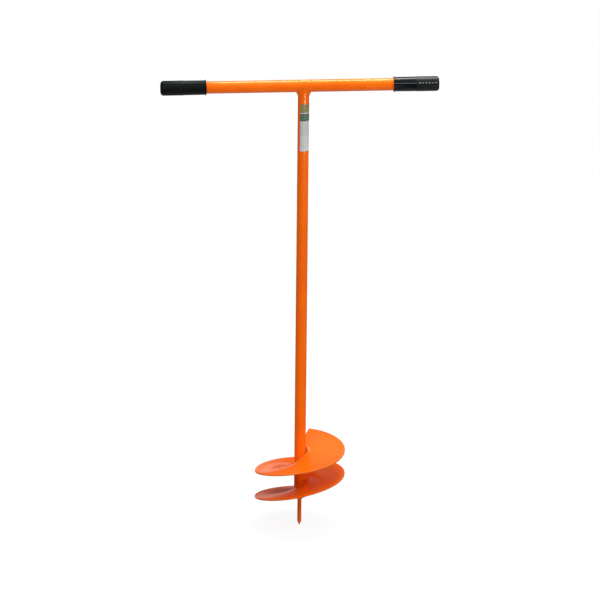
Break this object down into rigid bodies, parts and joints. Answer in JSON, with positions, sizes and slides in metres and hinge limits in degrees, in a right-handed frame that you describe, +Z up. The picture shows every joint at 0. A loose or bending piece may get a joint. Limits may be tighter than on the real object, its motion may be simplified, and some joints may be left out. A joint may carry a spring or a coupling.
{
  "type": "earth auger",
  "caption": "Hand earth auger: a welded steel tube T-handle and stem with push-on grips, helical sheet flights and a pointed pilot rod, for boring planting and post holes by hand.",
  "frame": {"origin": "tip of the pilot point, on the stem's axis", "axes": "+Z up along the stem, +X along the handle towards the right grip, -Y towards the user's side that shows the label"},
  "size_m": [0.618, 0.2, 1.0537],
  "materials": {
    "orange_paint": "gloss",
    "grip_plastic": "satin",
    "label_film": "satin"
  },
  "bodies": {
    "root": {"handle_tube": "orange_paint", "stem_tube": "orange_paint", "handle_weld": "orange_paint", "upper_flight": "orange_paint", "upper_flight_weld": "orange_paint", "lower_flight": "orange_paint", "lower_flight_weld": "orange_paint", "flight_joint_weld": "orange_paint", "pilot_rod": "orange_paint", "pilot_weld": "orange_paint", "left_grip": "grip_plastic", "right_grip": "grip_plastic", "label": "label_film", "stem_end_plug": "orange_paint"}
  },
  "joints": []
}
